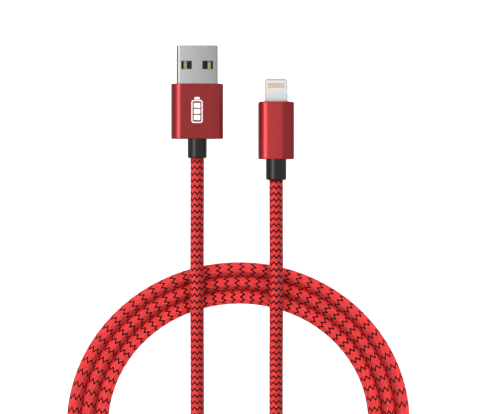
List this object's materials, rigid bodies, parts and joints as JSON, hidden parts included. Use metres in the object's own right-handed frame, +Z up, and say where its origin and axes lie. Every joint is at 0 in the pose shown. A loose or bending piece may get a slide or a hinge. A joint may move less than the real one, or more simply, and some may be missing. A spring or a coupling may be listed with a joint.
{
  "type": "charging cable",
  "caption": "Braided charging cable, loosely coiled, with a USB-A plug at one end and a slim reversible phone plug at the other, both in metal housings with rubber sleeves.",
  "frame": {"origin": "under the middle of the two plugs, on the surface they rest on", "axes": "+Y the way both plugs point, +Z up from the surface, +X from the USB plug to the phone plug"},
  "size_m": [0.1005, 0.1579, 0.012],
  "materials": {
    "anodised_red": "satin anodised, red",
    "braid_red": "braided polyester yarn, red with a black zigzag tracer",
    "sleeve_black": "satin moulded elastomer",
    "shell_steel": "satin nickel-plated stamped steel",
    "tab_steel": "polished plated steel",
    "gold_plate": "gold plated",
    "tongue_black": "moulded, matte",
    "insert_white": "moulded, satin",
    "mould_black": "moulded, matte",
    "board_green": "solder mask",
    "chip_black": "moulded package",
    "can_steel": "tinned steel",
    "jacket_grey": "extruded elastomer, satin",
    "wire_red": "insulated wire",
    "wire_white": "insulated wire",
    "wire_green": "insulated wire",
    "wire_black": "insulated wire"
  },
  "bodies": {
    "root": {"cord_coil": "braid_red", "cord_lead_phone": "braid_red", "cord_lead_usb": "braid_red", "phone_board": "board_green", "phone_chip": "chip_black", "phone_contact_bottom_1": "gold_plate", "phone_contact_bottom_2": "gold_plate", "phone_contact_bottom_3": "gold_plate", "phone_contact_bottom_4": "gold_plate", "phone_contact_bottom_5": "gold_plate", "phone_contact_bottom_6": "gold_plate", "phone_contact_bottom_7": "gold_plate", "phone_contact_bottom_8": "gold_plate", "phone_contact_top_1": "gold_plate", "phone_contact_top_2": "gold_plate", "phone_contact_top_3": "gold_plate", "phone_contact_top_4": "gold_plate", "phone_contact_top_5": "gold_plate", "phone_contact_top_6": "gold_plate", "phone_contact_top_7": "gold_plate", "phone_contact_top_8": "gold_plate", "phone_cord_clamp": "can_steel", "phone_housing": "anodised_red", "phone_inner_jacket": "jacket_grey", "phone_inner_mould": "mould_black", "phone_insulator": "insert_white", "phone_shield_can": "can_steel", "phone_strain_relief": "sleeve_black", "phone_tab": "tab_steel", "phone_wire_black": "wire_black", "phone_wire_green": "wire_green", "phone_wire_red": "wire_red", "phone_wire_white": "wire_white", "usb_contact_1": "gold_plate", "usb_contact_2": "gold_plate", "usb_contact_3": "gold_plate", "usb_contact_4": "gold_plate", "usb_cord_clamp": "can_steel", "usb_housing": "anodised_red", "usb_inner_jacket": "jacket_grey", "usb_inner_mould": "mould_black", "usb_insulator": "tongue_black", "usb_shell": "shell_steel", "usb_strain_relief": "sleeve_black", "usb_wire_black": "wire_black", "usb_wire_green": "wire_green", "usb_wire_red": "wire_red", "usb_wire_white": "wire_white"}
  },
  "joints": []
}
